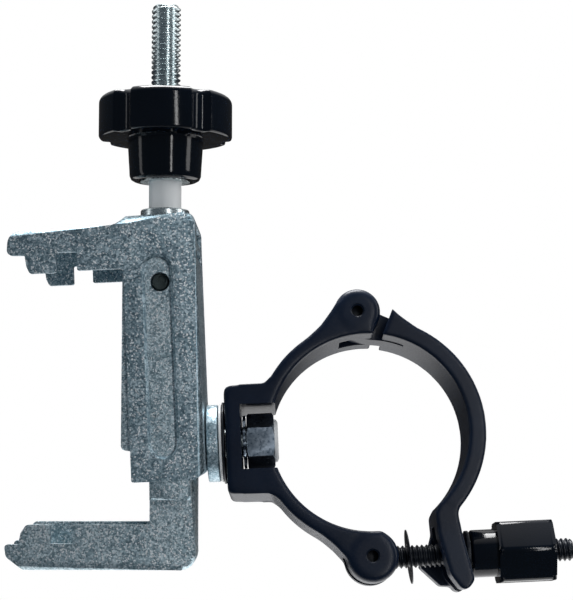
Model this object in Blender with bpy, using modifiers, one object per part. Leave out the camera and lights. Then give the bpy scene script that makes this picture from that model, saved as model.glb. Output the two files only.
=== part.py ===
"""A screw clamp with a hinged tube ring, modelled as separate pieces.

X runs from the jaws towards the ring, Y from the front plate to the rear plate, Z up. The origin is
midway between the two teeth of the upper jaw. The upper bracket stands square in that frame. Its screw and its lower bracket lean by JAW_PLAY, the
play between the two brackets, and the ring is turned by RING_TURN about its swivel bolt.
All lengths below are in millimetres and are scaled by MM.
"""

import math

import bpy
from mathutils import Matrix, Vector

MM = 0.001
GAP = 0.3

# Driving dimensions
ORIGIN_X, ORIGIN_Z = -31.0, 18.8
JAW_PLAY = 2.6
RING_TURN = -8.5
SHEET = 1.5
BRACKET_HALF = 17.5
SLIDER_HALF = 15.6
LOWER_JAW_HALF = 8.2

LEG_LEFT, LEG_RIGHT = -10.1, 8.8
LEG_TOP, LEG_BOTTOM = 33.3, -36.2
ARM_TOP, ARM_UNDER = 30.3, 19.1
JAW_NOSE = -40.3
SLOT_X, SLOT_WIDTH = -1.42, 6.6
SLOT_TOP, SLOT_BOTTOM = 21.8, -29.9

SCREW_X = -1.6
SPINDLE_R = 4.0
SPINDLE_TOP, SPINDLE_BOTTOM = 93.0, -21.0
GUIDE_PIN_Z, GUIDE_PIN_R = 15.3, 2.2
KNOB_R = 18.15
KNOB_TOP, KNOB_RIM_BOTTOM, KNOB_BOTTOM = 67.2, 55.7, 44.2
HUB_R = 10.0

SWIVEL_X, SWIVEL_Z = 8.8, -27.3
SWIVEL_BOLT_R = 4.0
RING_X, RING_R, RING_OUTER_R = 52.1, 26.0, 30.5
RING_HALF = 11.0
BOSS_LEFT, BOSS_RIGHT, BOSS_TOP, BOSS_BOTTOM = 14.1, 27.2, 13.8, -14.9
HINGE_X, HINGE_Z, HINGE_R = 50.65, 32.4, 6.2
EYE_X, EYE_Z, EYE_R = 51.0, -32.35, 6.8
PIN_R = 2.3
TONGUE_HALF = 3.6
BOLT_R = 3.0
BOLT_END = 104.2
FORK_FACE_R = 24.75
NUT_START, NUT_STEP, NUT_END = 77.2, 84.4, 98.8

COLOURS = {
    "zinc": ((0.42, 0.46, 0.50), 0.42, 0.9),
    "bright": ((0.72, 0.74, 0.76), 0.3, 1.0),
    "phenolic": ((0.012, 0.012, 0.014), 0.12, 0.0),
    "ring_black": ((0.022, 0.028, 0.04), 0.42, 0.3),
    "black_steel": ((0.03, 0.033, 0.038), 0.35, 0.8),
    "nylon": ((0.85, 0.85, 0.83), 0.5, 0.0),
}


def clear_scene():
    for old in list(bpy.data.objects):
        bpy.data.objects.remove(old, do_unlink=True)


def new_collection(name):
    made = bpy.data.collections.new(name)
    bpy.context.scene.collection.children.link(made)
    return made


def material(name):
    colour, roughness, metallic = COLOURS[name]
    found = bpy.data.materials.get(name)
    if found:
        return found
    made = bpy.data.materials.new(name)
    made.use_nodes = True
    shader = made.node_tree.nodes["Principled BSDF"]
    shader.inputs["Base Color"].default_value = (*colour, 1.0)
    shader.inputs["Roughness"].default_value = roughness
    shader.inputs["Metallic"].default_value = metallic
    return made


def empty(name, location, rotation=(0.0, 0.0, 0.0)):
    """A joint frame, placed in millimetres and degrees."""
    made = bpy.data.objects.new(name, None)
    made.location = Vector(location) * MM
    made.rotation_euler = [math.radians(angle) for angle in rotation]
    parts.objects.link(made)
    return made


def as_cutter(obj):
    obj.hide_render = True
    obj.display_type = "WIRE"
    return obj


def place(mesh, name, parent, at=(0.0, 0.0, 0.0), finish=None):
    """Puts a mesh, given in metres in its parent's frame, at a point of that frame."""
    made = bpy.data.objects.new(name, mesh)
    made.parent = parent
    made.location = Vector(at) * MM
    if finish is None:
        cutters.objects.link(made)
        return as_cutter(made)
    parts.objects.link(made)
    mesh.materials.append(material(finish))
    return made


def rounded(points, steps=4):
    """An outline whose corners (x, z, radius) become arcs, as a list of (x, z)."""
    outline = []
    count = len(points)
    for index, (x, z, radius) in enumerate(points):
        corner = Vector((x, z))
        if radius <= 0:
            outline.append((x, z))
            continue
        before = (Vector(points[index - 1][:2]) - corner).normalized()
        after = (Vector(points[(index + 1) % count][:2]) - corner).normalized()
        half = before.angle(after) / 2
        reach = radius / math.tan(half)
        centre = corner + (before + after).normalized() * (radius / math.sin(half))
        start = corner + before * reach - centre
        turn = start.angle_signed(corner + after * reach - centre)
        for step in range(steps + 1):
            arm = start.copy()
            arm.rotate(Matrix.Rotation(-turn * step / steps, 2))
            outline.append(tuple(centre + arm))
    return outline


def arc(centre, radius, start, end, steps=24):
    """Points along an arc in the XZ plane, angles in degrees from +X towards +Z."""
    found = []
    for step in range(steps + 1):
        angle = math.radians(start + (end - start) * step / steps)
        found.append((centre[0] + radius * math.cos(angle), centre[1] + radius * math.sin(angle)))
    return found


def curve_to_mesh(curve, turn):
    """The mesh of a curve object, its caps welded, turned into place."""
    import bmesh

    holder = bpy.data.objects.new("holder", curve)
    bpy.context.scene.collection.objects.link(holder)
    bpy.context.view_layer.update()
    graph = bpy.context.evaluated_depsgraph_get()
    mesh = bpy.data.meshes.new_from_object(holder.evaluated_get(graph))
    bpy.data.objects.remove(holder, do_unlink=True)
    work = bmesh.new()
    work.from_mesh(mesh)
    bmesh.ops.remove_doubles(work, verts=work.verts, dist=1e-6)
    bmesh.ops.recalc_face_normals(work, faces=work.faces)
    work.to_mesh(mesh)
    work.free()
    mesh.transform(turn)
    return mesh


def slab(outlines, low, high, axis="Y"):
    """A flat outline in XZ (or YZ), with any holes as further outlines, between two depths."""
    curve = bpy.data.curves.new("outline", "CURVE")
    curve.dimensions = "2D"
    curve.fill_mode = "BOTH"
    curve.extrude = (high - low) / 2 * MM
    for outline in outlines:
        spline = curve.splines.new("POLY")
        spline.points.add(len(outline) - 1)
        for point, (x, z) in zip(spline.points, outline):
            point.co = (x * MM, z * MM, 0.0, 1.0)
        spline.use_cyclic_u = True
    middle = (low + high) / 2 * MM
    if axis == "Y":
        turn = Matrix.Translation((0, middle, 0)) @ Matrix.Rotation(math.pi / 2, 4, "X")
    else:
        turn = Matrix.Translation((middle, 0, 0)) @ Matrix(((0, 0, 1, 0), (1, 0, 0, 0), (0, 1, 0, 0), (0, 0, 0, 1)))
    return curve_to_mesh(curve, turn)


def box(x0, x1, y0, y1, z0, z1):
    return slab([[(x0, z0), (x1, z0), (x1, z1), (x0, z1)]], y0, y1)


def turned(profile, axis="Z", steps=32):
    """A solid of revolution from (radius, height) points, listed from the top down the outer side."""
    import bmesh

    mesh = bpy.data.meshes.new("profile")
    work = bmesh.new()
    points = [work.verts.new((radius * MM, 0.0, height * MM)) for radius, height in profile]
    for first, second in zip(points, points[1:]):
        work.edges.new((first, second))
    if profile[0][0] > 0:
        work.edges.new((points[-1], points[0]))
    work.to_mesh(mesh)
    work.free()
    holder = bpy.data.objects.new("holder", mesh)
    bpy.context.scene.collection.objects.link(holder)
    screw = holder.modifiers.new("turn", "SCREW")
    screw.axis = "Z"
    screw.steps = steps
    screw.render_steps = steps
    screw.use_merge_vertices = True
    screw.merge_threshold = 0.00001
    bpy.context.view_layer.update()
    graph = bpy.context.evaluated_depsgraph_get()
    made = bpy.data.meshes.new_from_object(holder.evaluated_get(graph))
    bpy.data.objects.remove(holder, do_unlink=True)
    if axis == "X":
        made.transform(Matrix.Rotation(math.pi / 2, 4, "Y"))
    if axis == "Y":
        made.transform(Matrix.Rotation(-math.pi / 2, 4, "X"))
    return made


def shaft(radius, low, high, axis="Z", hole=0.0, chamfer=0.0, steps=32):
    """A round bar, or a tube when it has a hole, between two heights on its axis."""
    outer = [(radius - chamfer, high), (radius, high - chamfer), (radius, low + chamfer), (radius - chamfer, low)]
    if chamfer == 0.0:
        outer = [(radius, high), (radius, low)]
    if hole > 0.0:
        return turned([(hole, high)] + outer + [(hole, low)], axis, steps)
    return turned([(0.0, high)] + outer + [(0.0, low)], axis, steps)


def boolean(obj, other, operation):
    made = obj.modifiers.new(operation.lower(), "BOOLEAN")
    made.operation = operation
    made.object = other
    made.solver = "EXACT"
    return obj


def cut(obj, *others):
    for other in others:
        boolean(obj, other, "DIFFERENCE")
    return obj


def join(obj, *others):
    for other in others:
        boolean(obj, other, "UNION")
    return obj


def soften(obj, width, angle=40.0, segments=1):
    """Rounds the edges of a slab, before anything is cut from it."""
    bevel = obj.modifiers.new("soften", "BEVEL")
    bevel.width = width * MM
    bevel.segments = segments
    bevel.limit_method = "ANGLE"
    bevel.angle_limit = math.radians(angle)
    return obj


def smooth(obj):
    obj.data.shade_smooth()
    obj.data.set_sharp_from_angle(angle=math.radians(35))
    return obj


def slot_outline(x, width, low, high):
    radius = width / 2
    return arc((x, high - radius), radius, 0, 180, 12) + arc((x, low + radius), radius, 180, 360, 12)


def upper_bracket(root):
    """A channel folded from one sheet: two side plates, and a web along the top and the right."""
    outline = rounded(
        [
            (JAW_NOSE + 0.6, ARM_TOP - 0.5, 3.2),
            (-12.6, ARM_TOP + 0.3, 1.0),
            (-9.2, LEG_TOP - 0.3, 1.0),
            (LEG_RIGHT, LEG_TOP, 1.6),
            (LEG_RIGHT, LEG_BOTTOM, 4.0),
            (LEG_LEFT, LEG_BOTTOM, 0.6),
            (LEG_LEFT, ARM_UNDER, 1.2),
            (-22.1, ARM_UNDER, 0.4),
            (-22.1, 24.0, 0.5),
            (-27.5, 24.0, 0.5),
            (-27.5, ORIGIN_Z, 0.5),
            (-34.4, ORIGIN_Z, 0.8),
            (-35.2, 20.6, 0.4),
            (-35.6, 23.6, 0.3),
            (JAW_NOSE, 23.8, 1.4),
        ]
    )
    body = place(slab([outline], -BRACKET_HALF, BRACKET_HALF), "upper_bracket", root, finish="zinc")
    soften(body, 0.6, 50.0)
    inside = rounded(
        [
            (-60, ARM_TOP - 2.0, 0),
            (-12.2, ARM_TOP - 1.2, 1.0),
            (-8.8, LEG_TOP - SHEET - 0.3, 1.0),
            (LEG_RIGHT - SHEET, LEG_TOP - SHEET, 1.0),
            (LEG_RIGHT - SHEET, -60, 0),
            (-60, -60, 0),
        ]
    )
    hollow_half = BRACKET_HALF - SHEET
    hollow = place(slab([inside], -hollow_half, hollow_half), "cut_inside", root)
    slots = place(slab([slot_outline(SLOT_X, SLOT_WIDTH, SLOT_BOTTOM, SLOT_TOP)], -25, 25), "cut_slots", root)
    high_window = place(box(6.0, 12.0, -12.0, 12.0, 26.2, 30.4), "cut_window_high", root)
    low_window = place(box(6.0, 12.0, -12.0, 12.0, 21.8, 24.4), "cut_window_low", root)
    bolt_hole = place(
        shaft(SWIVEL_BOLT_R + GAP, 0, 14, "X"), "cut_bolt_hole", root, (0, 0, SWIVEL_Z)
    )
    screw_hole = place(shaft(SPINDLE_R + 0.9, 26, 40), "cut_screw_hole", screw_frame)
    return cut(body, hollow, high_window, low_window, bolt_hole, screw_hole, slots)


def lower_bracket(frame):
    """The sliding channel that runs inside the upper bracket, with the narrower lower jaw."""
    slider = rounded(
        [
            (-9.8, 23.2, 1.0),
            (7.4, 23.2, 1.0),
            (7.9, -28.0, 0),
            (8.3, -41.2, 0.8),
            (-2.4, -41.2, 0.5),
            (-2.4, -28.4, 0.5),
            (-9.8, -28.4, 0.8),
        ]
    )
    body = place(slab([slider], -SLIDER_HALF, SLIDER_HALF), "lower_bracket", frame, finish="zinc")
    jaw = rounded(
        [
            (-2.9, -36.0, 0),
            (-2.9, -47.9, 0.6),
            (-35.2, -47.9, 1.0),
            (-36.6, -50.0, 0.4),
            (-37.2, -53.0, 0.3),
            (-40.9, -53.0, 0.8),
            (-40.4, -56.2, 2.0),
            (-35.5, -59.7, 3.0),
            (9.1, -59.7, 3.6),
            (9.1, -36.0, 0),
        ]
    )
    jaw_solid = place(slab([jaw], -LOWER_JAW_HALF, LOWER_JAW_HALF), "add_jaw", frame)
    soften(jaw_solid, 0.5, 50.0)
    slider_inside = [(-60, 60), (6.0, 60), (6.4, -28.0), (6.7, -60), (-60, -60)]
    slider_half = SLIDER_HALF - SHEET
    wide_hollow = place(slab([slider_inside], -slider_half, slider_half), "cut_slider_inside", frame)
    cut(body, wide_hollow)
    join(body, jaw_solid)
    jaw_inside = rounded(
        [(-60, -30, 0), (6.9, -30, 0), (7.3, -57.7, 1.5), (-60, -57.7, 0)]
    )
    jaw_half = LOWER_JAW_HALF - 2.0
    jaw_hollow = place(slab([jaw_inside], -jaw_half, jaw_half), "cut_jaw_inside", frame)
    front_notch = [(-28.9, -52.8), (-22.9, -52.8), (-22.9, -40.0), (-28.9, -40.0)]
    notch = place(slab([front_notch], -LOWER_JAW_HALF - 1.0, 0.0), "cut_jaw_notch", frame)
    pin_hole = place(shaft(GUIDE_PIN_R + GAP, -30, 30, "Y"), "cut_pin_holes", frame, (0, 0, GUIDE_PIN_Z))
    return cut(body, jaw_hollow, notch, pin_hole)


def spindle_parts(frame):
    """The screw, the star knob fixed to it, and what holds it in the bracket's top plate."""
    rod = place(
        shaft(SPINDLE_R, SPINDLE_BOTTOM, SPINDLE_TOP, chamfer=0.7, steps=24), "spindle", frame, finish="bright"
    )
    smooth(rod)
    star_knob(frame)
    insert = turned(
        [
            (SPINDLE_R + GAP, 66.9),
            (5.6, 66.9),
            (5.6, 46.0),
            (6.8, 46.0),
            (6.8, 44.0),
            (SPINDLE_R + GAP, 44.0),
        ],
        steps=24,
    )
    smooth(place(insert, "knob_insert", frame, finish="bright"))
    plain = [
        ("spindle_collar", 6.6, 34.0, 36.3, 0.3),
        ("thrust_washer", 7.0, 30.3, 31.1, 0.0),
        ("retaining_clip", 5.6, 28.9, 30.0, 0.0),
    ]
    for name, radius, low, high, chamfer in plain:
        ring = shaft(radius, low, high, hole=SPINDLE_R + GAP, chamfer=chamfer, steps=24)
        smooth(place(ring, name, frame, finish="bright"))


def star_knob(frame):
    """A five-lobed rim on a round hub."""
    lobes = 5
    outline = []
    for index in range(lobes):
        middle = 270 + index * 360 / lobes
        lobe_half = 25.0
        outline += arc((0, 0), KNOB_R, middle - lobe_half, middle + lobe_half, 8)
        flute_angle = math.radians(middle + 180 / lobes)
        away = KNOB_R + 1.2
        flute = (away * math.cos(flute_angle), away * math.sin(flute_angle))
        facing = math.degrees(flute_angle) + 180
        outline += arc(flute, 3.2, facing + 52, facing - 52, 6)
    rim = slab([outline], -KNOB_TOP, -KNOB_RIM_BOTTOM)
    rim.transform(Matrix.Rotation(-math.pi / 2, 4, "X"))
    body = place(rim, "star_knob", frame, finish="phenolic")
    soften(body, 0.8, 50.0)
    hub = turned(
        [
            (0, 58.0),
            (10.35, 58.0),
            (10.35, 53.0),
            (HUB_R + 0.1, 52.4),
            (HUB_R - 0.2, 45.6),
            (HUB_R - 1.2, KNOB_BOTTOM + 0.2),
            (HUB_R - 2.4, KNOB_BOTTOM),
            (0, KNOB_BOTTOM),
        ]
    )
    bore = turned([(0, 80.0), (5.9, 80.0), (5.9, 46.3), (7.1, 46.3), (7.1, 30.0), (0, 30.0)], steps=24)
    join(body, place(hub, "add_hub", frame))
    return cut(body, place(bore, "cut_knob_bore", frame))


def traveller_parts(frame):
    """The threaded block that carries the lower bracket on the screw, and its two guide pins."""
    block = place(box(-7.0, 5.2, -11.0, 11.0, 9.3, 21.3), "traveller_nut", frame, finish="bright")
    soften(block, 0.6, 50.0)
    bore = place(shaft(SPINDLE_R + GAP, 0, 40, steps=24), "cut_block_bore", frame)
    cut(block, bore)
    for name, side in (("guide_pin_front", -1), ("guide_pin_rear", 1)):
        near, far = sorted((side * 6.0, side * 17.2))
        seat_near, seat_far = sorted((side * 5.6, side * 20.0))
        seat = place(
            shaft(GUIDE_PIN_R + GAP, seat_near, seat_far, "Y", steps=24), "cut_" + name, frame, (0, 0, GUIDE_PIN_Z)
        )
        cut(block, seat)
        pin = shaft(GUIDE_PIN_R, near, far, "Y", chamfer=0.3, steps=24)
        smooth(place(pin, name, frame, (0, 0, GUIDE_PIN_Z), "bright"))


def swivel_parts(root):
    """The bolt through the bracket's spine, and the washers and lock nut on it."""
    at = (0, 0, SWIVEL_Z)
    bolt = turned(
        [
            (0, 27.9),
            (SWIVEL_BOLT_R - 0.6, 27.9),
            (SWIVEL_BOLT_R, 27.3),
            (SWIVEL_BOLT_R, 7.05),
            (6.0, 7.05),
            (6.0, 6.75),
            (5.7, 6.5),
            (0, 6.5),
        ],
        "X",
        24,
    )
    head_room = [
        ("swivel_spacer", 10.3, 9.1, 12.2, SWIVEL_BOLT_R + GAP, "zinc"),
        ("nylon_washer", 10.4, 12.4, 13.1, SWIVEL_BOLT_R + GAP, "nylon"),
        ("tooth_washer", 7.0, 18.7, 19.4, SWIVEL_BOLT_R + GAP, "bright"),
        ("lock_nut_insert", 5.4, 26.4, 27.4, SWIVEL_BOLT_R + GAP, "nylon"),
    ]
    smooth(place(bolt, "swivel_bolt", root, at, "bright"))
    for name, radius, low, high, hole, finish in head_room:
        smooth(place(shaft(radius, low, high, "X", hole=hole, steps=32), name, root, at, finish))
    flats = [(7.5 * math.cos(math.radians(a)), 7.5 * math.sin(math.radians(a))) for a in range(90, 450, 60)]
    nut = place(slab([flats], 19.7, 27.0, "X"), "lock_nut", root, at, "bright")
    soften(nut, 0.3, 50.0)
    bore = turned(
        [(0, 40.0), (5.7, 40.0), (5.7, 26.1), (SWIVEL_BOLT_R + GAP, 26.1), (SWIVEL_BOLT_R + GAP, 10.0), (0, 10.0)],
        "X",
        24,
    )
    cut(nut, place(bore, "cut_lock_nut_bore", root, at))


def ring_fixed_half(frame):
    """The boss with its pocket, the two arms, and the hinge and eye barrels."""
    outer_r = 29.8
    centre = (RING_X, 0)
    band = arc(centre, outer_r, 104, 256, 40) + arc(centre, RING_R - 1.5, 262, 98, 20)
    body = place(slab([band], -RING_HALF, RING_HALF), "ring_fixed_half", frame, finish="ring_black")
    boss = rounded(
        [
            (BOSS_LEFT, BOSS_TOP, 2.0),
            (25.2, BOSS_TOP - 0.1, 0),
            (28.6, 18.0, 0),
            (31.2, 15.4, 0),
            (28.4, 9.6, 0),
            (27.4, 7.0, 0),
            (27.2, -8.0, 0),
            (30.6, -14.6, 0),
            (29.6, -19.2, 0),
            (25.6, BOSS_BOTTOM, 0),
            (BOSS_LEFT + 0.2, BOSS_BOTTOM, 1.6),
        ]
    )
    near = RING_HALF - 0.03
    boss_solid = place(slab([boss], -near, near), "add_boss", frame)
    hinge_neck = [(35.4, 24.6), (37.9, 26.5), (40.7, 29.0), (43.3, 32.3), (45.2, 35.0), (50.6, 36.0), (55.5, 30.5), (54.2, 25.0), (40.0, 21.5)]
    hinge_neck_solid = place(slab([hinge_neck], -near + 0.03, near - 0.03), "add_hinge_neck", frame)
    eye_neck = [(37.0, -21.0), (52.5, -24.5), (56.5, -29.0), (55.3, -36.2), (50.0, -38.4), (46.6, -36.8), (44.0, -32.4), (41.6, -29.6), (38.8, -27.0), (35.5, -24.6)]
    eye_neck_solid = place(slab([eye_neck], -near + 0.06, near - 0.06), "add_eye_neck", frame)
    proud = RING_HALF + 0.1
    barrel = place(shaft(HINGE_R, -proud, proud, "Y", chamfer=0.5), "add_hinge_barrel", frame, (HINGE_X, 0, HINGE_Z))
    eye_barrel = place(shaft(EYE_R, -proud, proud, "Y", chamfer=0.5), "add_eye_barrel", frame, (EYE_X, 0, EYE_Z))
    join(body, boss_solid, hinge_neck_solid, eye_neck_solid, barrel, eye_barrel)
    inside = place(shaft(RING_R, -20, 20, "Y", steps=64), "cut_ring_inside", frame, (RING_X, 0, 0))
    pocket = place(box(18.2, 60.0, -20, 20, -8.5, 8.6), "cut_pocket", frame)
    bolt_hole = place(shaft(SWIVEL_BOLT_R + GAP, 0, 30, "X", steps=24), "cut_swivel_hole", frame)
    tongue_r = HINGE_R + 0.5
    way_left = 45.6
    first = math.degrees(math.asin(-1.0 / tongue_r))
    final = 180 + math.degrees(math.acos((HINGE_X - way_left) / tongue_r))
    keyhole = [(way_left, 20.0), (70.0, 20.0), (70.0, HINGE_Z - 1.0)]
    keyhole += arc((HINGE_X, HINGE_Z), tongue_r, first, final, 24)
    tongue = place(slab([keyhole], -TONGUE_HALF - GAP, TONGUE_HALF + GAP), "cut_tongue", frame)
    eye_way = place(
        shaft(EYE_R + 0.6, 0.05 - TONGUE_HALF, TONGUE_HALF - 0.05, "Y", steps=36), "cut_eye_way", frame, (EYE_X, 0, EYE_Z)
    )
    pins = []
    wide = PIN_R + GAP
    bore = [(0, 20), (1.75, 20), (1.75, 10.2), (wide, 10.2), (wide, -10.2), (1.75, -10.2), (1.75, -20), (0, -20)]
    for name, x, z in (("hinge", HINGE_X, HINGE_Z), ("eye", EYE_X, EYE_Z)):
        pins.append(place(turned(bore, "Y", 24), "cut_pin_" + name, frame, (x, 0, z)))
    return cut(body, inside, pocket, bolt_hole, tongue, eye_way, *pins)


def ring_gate(frame):
    """The moving half: a band with a hinge tongue at the top and a slotted fork at the bottom."""
    centre = (RING_X - HINGE_X, -HINGE_Z)
    band = [(7.9 + centre[0], 32.5 + centre[1]), (9.5 + centre[0], 30.8 + centre[1])]
    band += [(12.3 + centre[0], 28.5 + centre[1])] + arc(centre, RING_OUTER_R, 62, -44, 28)
    band += arc(centre, RING_R - 1.5, -48, 80, 14)
    body = place(slab([band], -RING_HALF, RING_HALF), "ring_gate", frame, finish="ring_black")
    neck = [(-0.5, -5.9), (5.0, -7.0), (12.0, -9.6), (12.6, -5.4), (9.6, -1.4), (6.0, 0.4), (0.5, 2.0)]
    neck_half = TONGUE_HALF - 0.04
    neck_solid = place(slab([neck], -neck_half, neck_half), "add_tongue_neck", frame)
    knuckle = place(shaft(HINGE_R - 0.3, -TONGUE_HALF, TONGUE_HALF, "Y"), "add_knuckle", frame)
    fork = rounded(
        [
            (70.6, -17.0, 0),
            (76.0, -17.2, 0),
            (74.4, -20.3, 0),
            (73.7, -22.6, 0),
            (74.3, -27.0, 0),
            (76.8, -39.6, 1.6),
            (74.0, -43.0, 1.8),
            (70.6, -38.0, 1.0),
            (68.0, -27.0, 2.0),
            (67.8, -21.8, 2.2),
        ]
    )
    fork = [(x - HINGE_X, z - HINGE_Z) for x, z in fork]
    fork_solid = place(slab([fork], 0.05 - RING_HALF, RING_HALF - 0.05), "add_fork", frame)
    gusset = [(68.4, -25.0), (66.4, -31.2), (63.9, -34.8), (69.2, -40.1), (72.6, -40.4), (72.0, -30.0)]
    gusset = [(x - HINGE_X, z - HINGE_Z) for x, z in gusset]
    gusset_solid = place(slab([gusset], BOLT_R + 1.2, RING_HALF - 0.6), "add_gusset", frame)
    join(body, neck_solid, knuckle, fork_solid, gusset_solid)
    inside = place(shaft(RING_R, -20, 20, "Y", steps=64), "cut_gate_inside", frame, (centre[0], 0, centre[1]))
    slot = [(60.0, -24.5), (90.0, -26.0), (90.0, -60.0), (60.0, -60.0)]
    slot = [(x - HINGE_X, z - HINGE_Z) for x, z in slot]
    slot_cutter = place(slab([slot], -BOLT_R - 0.6, BOLT_R + 0.6), "cut_fork_slot", frame)
    seat = shaft(45.0, -6.9, 6.9, "Y", hole=FORK_FACE_R, steps=96)
    seat_cutter = place(seat, "cut_nut_seat", frame, (EYE_X - HINGE_X, 0, EYE_Z - HINGE_Z))
    seat_limit = place(
        box(60.0 - HINGE_X, 100.0 - HINGE_X, -6.9, 6.9, -80 - HINGE_Z, -24.6 - HINGE_Z), "cut_seat_limit", frame
    )
    boolean(seat_cutter, seat_limit, "INTERSECT")
    pin_hole = place(shaft(PIN_R + GAP, -20, 20, "Y", steps=24), "cut_gate_pin", frame)
    return cut(body, inside, slot_cutter, seat_cutter, pin_hole)


def ring_parts(frame):
    disc = shaft(10.9, 13.25, 13.85, "X", hole=SWIVEL_BOLT_R + GAP, steps=32)
    smooth(place(disc, "friction_disc", frame, finish="black_steel"))
    for name, x, z in (("hinge_pin", HINGE_X, HINGE_Z), ("eye_pin", EYE_X, EYE_Z)):
        pin = shaft(PIN_R, -9.8, 9.8, "Y", chamfer=0.3, steps=24)
        smooth(place(pin, name, frame, (x, 0, z), "black_steel"))


def eye_bolt_parts(frame):
    """The eye bolt in the frame of its pin, and the thin disc pushed onto its shank."""
    shank = turned(
        [
            (0, BOLT_END - EYE_X),
            (BOLT_R - 0.5, BOLT_END - EYE_X),
            (BOLT_R, BOLT_END - EYE_X - 0.5),
            (BOLT_R, 4.0),
            (0, 4.0),
        ],
        "X",
        24,
    )
    bolt = place(shank, "eye_bolt", frame, finish="black_steel")
    eye = place(shaft(EYE_R - 0.4, -3.2, 3.2, "Y", chamfer=0.5, steps=32), "add_eye", frame)
    join(bolt, eye)
    cut(bolt, place(shaft(PIN_R + GAP, -10, 10, "Y", steps=24), "cut_eye", frame))
    disc = shaft(7.1, 9.8, 10.2, "X", hole=BOLT_R + GAP, steps=32)
    smooth(place(disc, "retaining_disc", frame, finish="black_steel"))


def nut_parts(frame):
    """The hand nut, its threaded insert and the washer under it, on the eye bolt's axis."""
    first, step, last = NUT_START - EYE_X, NUT_STEP - EYE_X, NUT_END - EYE_X
    washer = shaft(6.1, first - 1.35, first - GAP, "X", hole=BOLT_R + GAP, steps=32)
    smooth(place(washer, "nut_washer", frame, finish="black_steel"))
    across = 7.8
    flats = []
    for index in range(6):
        flats += [(*[across / math.cos(math.pi / 6) * f(math.radians(60 * index)) for f in (math.cos, math.sin)], 1.4)]
    head = slab([rounded(flats)], step - 0.4, last, "X")
    body = place(head, "hand_nut", frame, finish="phenolic")
    soften(body, 0.7, 50.0)
    hub = shaft(6.2, first, step + 1.0, "X", chamfer=0.5, steps=32)
    join(body, place(hub, "add_nut_hub", frame))
    bore = turned(
        [(0, 80.0), (BOLT_R + 0.6, 80.0), (BOLT_R + 0.6, 45.3), (4.6, 45.3), (4.6, 10.0), (0, 10.0)], "X", 24
    )
    cut(body, place(bore, "cut_nut_bore", frame))
    insert = shaft(4.3, first + 0.3, 45.0, "X", hole=BOLT_R + GAP, steps=24)
    smooth(place(insert, "hand_nut_insert", frame, finish="bright"))


clear_scene()
parts = new_collection("screw_clamp_with_tube_ring")
cutters = new_collection("cutters")
cutters.hide_render = True

play = math.radians(JAW_PLAY)
root = empty("root_frame", (-ORIGIN_X, 0, -ORIGIN_Z))
screw_frame = empty(
    "screw_frame", (SCREW_X * math.cos(play), 0, -SCREW_X * math.sin(play)), (0, JAW_PLAY, 0)
)
screw_frame.parent = root
ring_frame = empty("ring_frame", (0, 0, SWIVEL_Z), (RING_TURN, 0, 0))
ring_frame.parent = root
hinge_frame = empty("hinge_frame", (HINGE_X, 0, HINGE_Z))
hinge_frame.parent = ring_frame
eye_frame = empty("eye_frame", (EYE_X, 0, EYE_Z))
eye_frame.parent = ring_frame
bpy.context.view_layer.update()

upper_bracket(root)
lower_bracket(screw_frame)
spindle_parts(screw_frame)
traveller_parts(screw_frame)
swivel_parts(root)
ring_fixed_half(ring_frame)
ring_parts(ring_frame)
ring_gate(hinge_frame)
eye_bolt_parts(eye_frame)
nut_parts(eye_frame)
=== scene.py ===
"""The look of the screw clamp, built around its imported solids.

Sizes are in millimetres in six frames: ROOT is the upper bracket's, SCREW the leaning screw's, SWIVEL
that of the bolt on which the ring turns, RING the ring's, HINGE and EYE those of the ring's two pins.
A piece is made in its frame, then moved. Where outlines are joined, their depths differ by a few
hundredths of a millimetre, so that no two faces lie in one plane.
"""

import math

import bmesh
import bpy
from mathutils import Matrix, Vector


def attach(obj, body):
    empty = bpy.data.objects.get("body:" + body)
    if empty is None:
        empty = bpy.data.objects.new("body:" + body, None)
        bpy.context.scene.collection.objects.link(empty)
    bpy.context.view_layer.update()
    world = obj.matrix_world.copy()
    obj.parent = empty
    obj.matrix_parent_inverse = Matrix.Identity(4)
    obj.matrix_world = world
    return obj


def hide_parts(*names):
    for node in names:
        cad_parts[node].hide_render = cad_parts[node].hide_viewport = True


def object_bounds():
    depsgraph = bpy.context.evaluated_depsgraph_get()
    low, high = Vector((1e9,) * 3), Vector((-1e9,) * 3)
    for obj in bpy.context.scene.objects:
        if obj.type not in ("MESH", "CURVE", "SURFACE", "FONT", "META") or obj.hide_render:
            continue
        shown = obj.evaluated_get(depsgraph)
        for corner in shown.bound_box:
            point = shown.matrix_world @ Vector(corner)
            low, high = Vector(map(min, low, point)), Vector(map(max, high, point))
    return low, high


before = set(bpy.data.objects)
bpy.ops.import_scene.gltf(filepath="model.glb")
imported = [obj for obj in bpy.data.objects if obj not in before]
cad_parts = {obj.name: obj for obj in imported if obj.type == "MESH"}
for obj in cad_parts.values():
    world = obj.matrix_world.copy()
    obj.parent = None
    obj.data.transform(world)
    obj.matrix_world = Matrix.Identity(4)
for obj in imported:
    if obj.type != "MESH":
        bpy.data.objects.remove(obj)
CAD_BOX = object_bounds()

MM = 0.001
ORIGIN = Vector((31.0, 0.0, -18.8))
JAW_PLAY, RING_TURN = math.radians(2.6), math.radians(-8.5)
SCREW_X, SWIVEL_Z = -1.6, -27.3

# Brackets
SHEET, FOLD = 1.5, 2.1
BRACKET_HALF, SLIDER_HALF, JAW_HALF = 17.5, 15.6, 8.2
LEG_LEFT, LEG_RIGHT, LEG_TOP, LEG_BOTTOM = -10.1, 8.8, 33.3, -36.2
ARM_TOP, ARM_UNDER, NOSE = 30.3, 19.1, -40.3
SLOT_X, SLOT_HALF, SLOT_TOP, SLOT_BOTTOM = -1.42, 3.3, 21.8, -29.9
PIN_Z, PIN_R = 15.3, 2.2

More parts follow.
